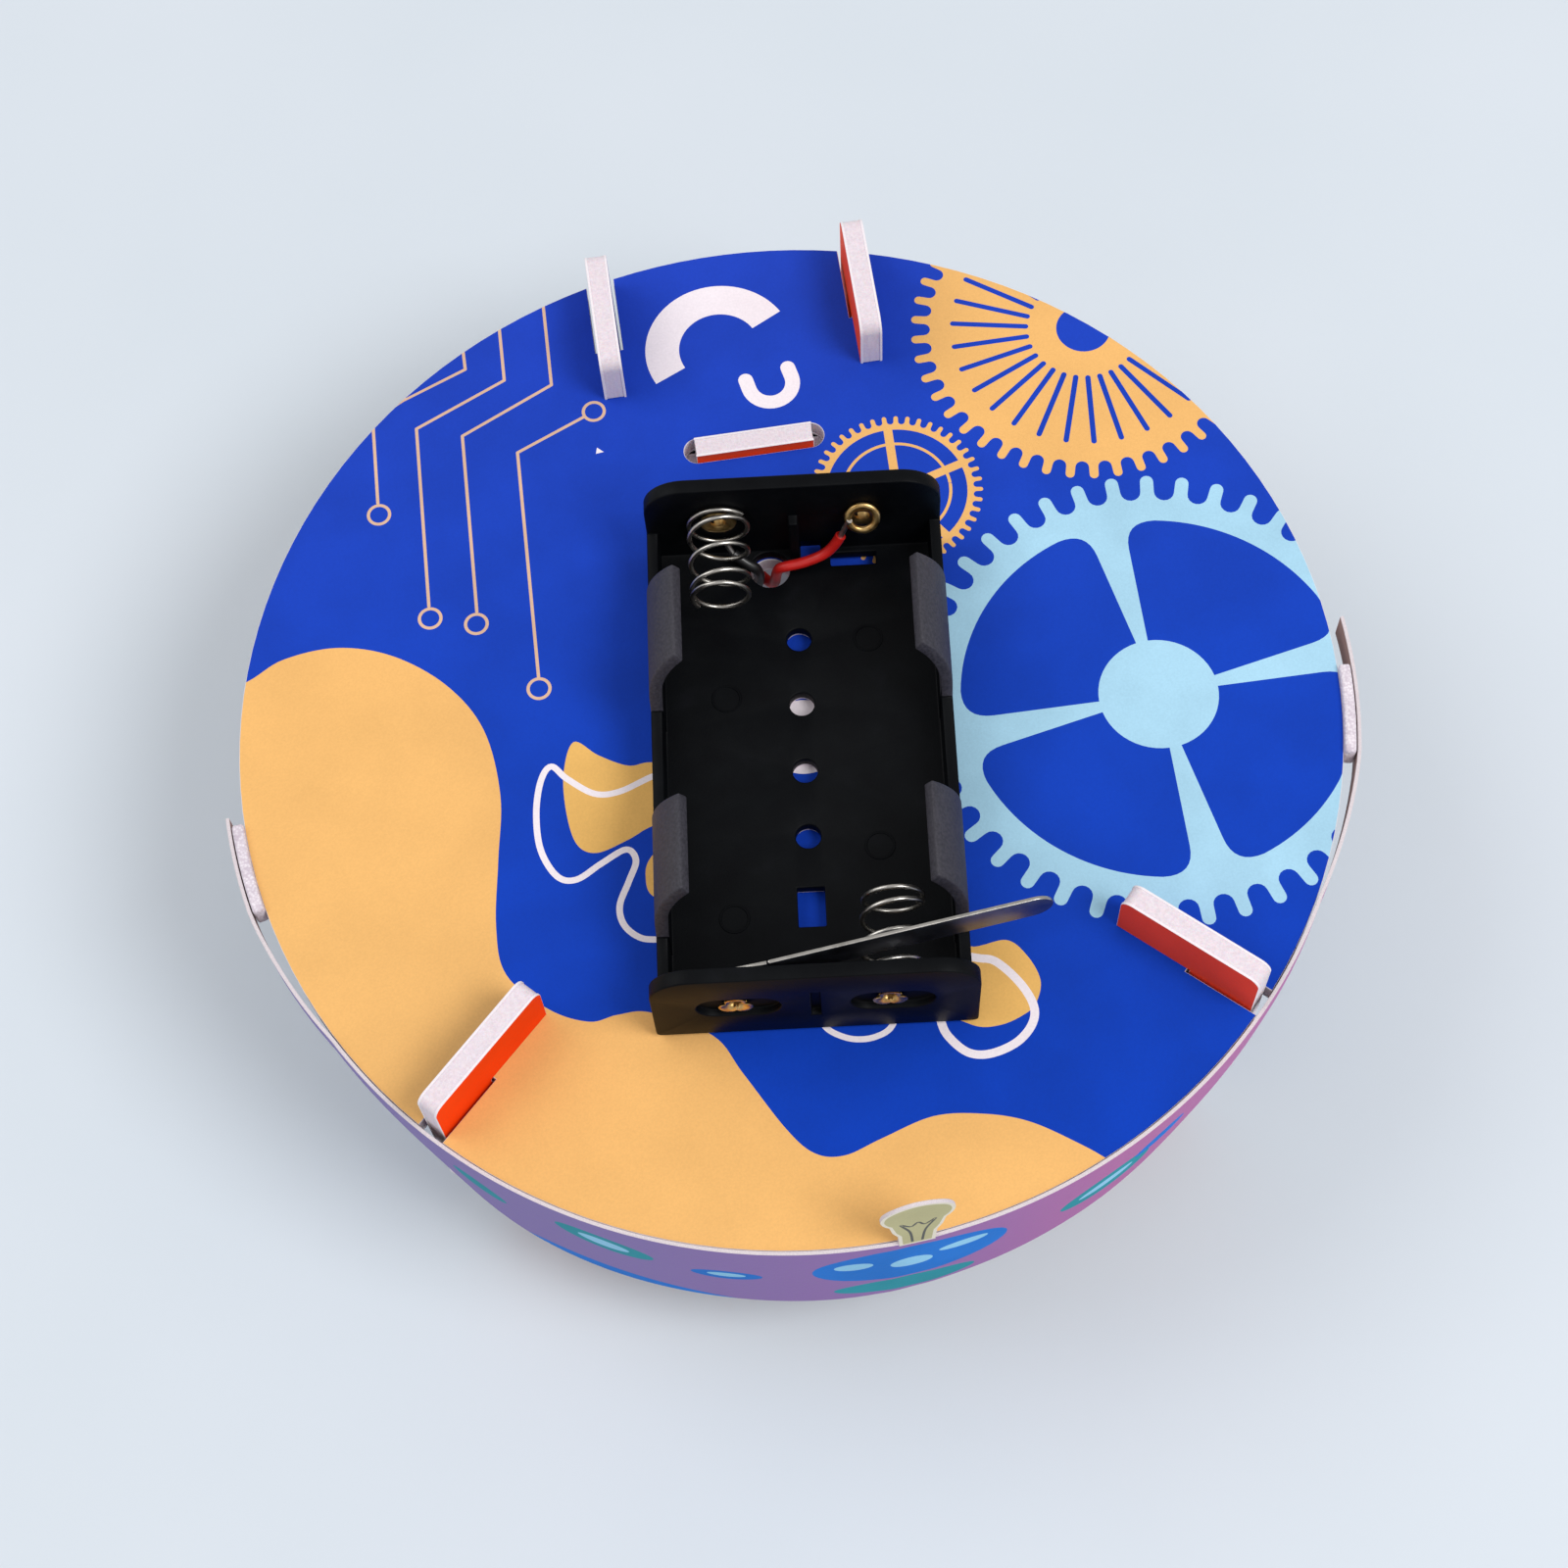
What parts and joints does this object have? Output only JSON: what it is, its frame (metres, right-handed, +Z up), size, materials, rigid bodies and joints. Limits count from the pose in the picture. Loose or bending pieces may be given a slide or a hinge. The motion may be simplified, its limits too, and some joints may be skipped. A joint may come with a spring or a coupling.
{
  "type": "two wheel robot car",
  "caption": "Small foam board robot car: round printed deck with an open battery box and switch leaf, a front band, leg boards and a geared two wheel drive under the rear.",
  "frame": {"origin": "on the floor under the centre of the round deck", "axes": "+Z up, the front with the printed band faces -Y, +X to the right of a person facing the front; left and right in names are as that person sees them"},
  "size_m": [0.1231, 0.1201, 0.0497],
  "materials": {
    "foam_board": "matte printed foam board",
    "printed_card": "smooth printed card",
    "foam_tape": "soft foam pad",
    "black_plastic": "moulded, fine texture",
    "spring_steel": "nickel plated",
    "contact_brass": "bright rolled brass",
    "red_insulation": "soft wire insulation",
    "black_insulation": "soft wire insulation",
    "steel_shaft": "ground shaft",
    "white_plastic": "moulded nylon",
    "yellow_plastic": "moulded, semi-gloss",
    "tyre_rubber": "matte rubber",
    "motor_steel": "plated pressed steel",
    "magnet_ferrite": "matte ferrite",
    "armature_iron": "laminated iron with windings"
  },
  "bodies": {
    "chassis": {"axle_bush_left": "white_plastic", "axle_bush_right": "white_plastic", "band_pad_left": "foam_tape", "band_pad_right": "foam_tape", "battery_box": "black_plastic", "battery_contacts": "contact_brass", "black_lead": "black_insulation", "box_tape": "foam_tape", "contact_spring_front": "spring_steel", "contact_spring_rear": "spring_steel", "cross_board": "foam_board", "deck": "foam_board", "front_leg_left": "foam_board", "front_leg_right": "foam_board", "motor_can": "motor_steel", "motor_end_cap": "white_plastic", "motor_magnets": "magnet_ferrite", "motor_tape": "foam_tape", "motor_terminals": "contact_brass", "printed_band": "printed_card", "rear_plate_left": "foam_board", "rear_plate_right": "foam_board", "red_lead": "red_insulation", "switch_contact": "spring_steel", "switch_leaf_foot": "spring_steel"},
    "wheelset": {"wheel_axle": "steel_shaft", "axle_gear": "white_plastic", "axle_collar": "white_plastic", "wheel_hub_left": "yellow_plastic", "wheel_hub_right": "yellow_plastic", "tyre_left": "tyre_rubber", "tyre_right": "tyre_rubber"},
    "rotor": {"motor_shaft": "steel_shaft", "motor_pinion": "white_plastic", "motor_armature": "armature_iron"},
    "leaf": {"switch_leaf": "spring_steel"}
  },
  "joints": [
    {"name": "wheel_spin", "type": "hinge", "parent": "chassis", "child": "wheelset", "pos_m": [0.001, 0.0365, 0.015], "axis": [1, 0, 0], "continuous": true},
    {"name": "motor_spin", "type": "hinge", "parent": "chassis", "child": "rotor", "pos_m": [0.001, 0.0475, 0.02193], "axis": [1, 0, 0], "continuous": true},
    {"name": "switch_press", "type": "hinge", "parent": "chassis", "child": "leaf", "pos_m": [-0.00631, -0.03417, 0.047], "axis": [0, 0, 1], "range_deg": [-8.5, 0], "stiffness_Nm_per_rad": 0.004}
  ],
  "couplings": [
    {"joint": "wheel_spin", "follows": "motor_spin", "ratio": -0.18182}
  ]
}
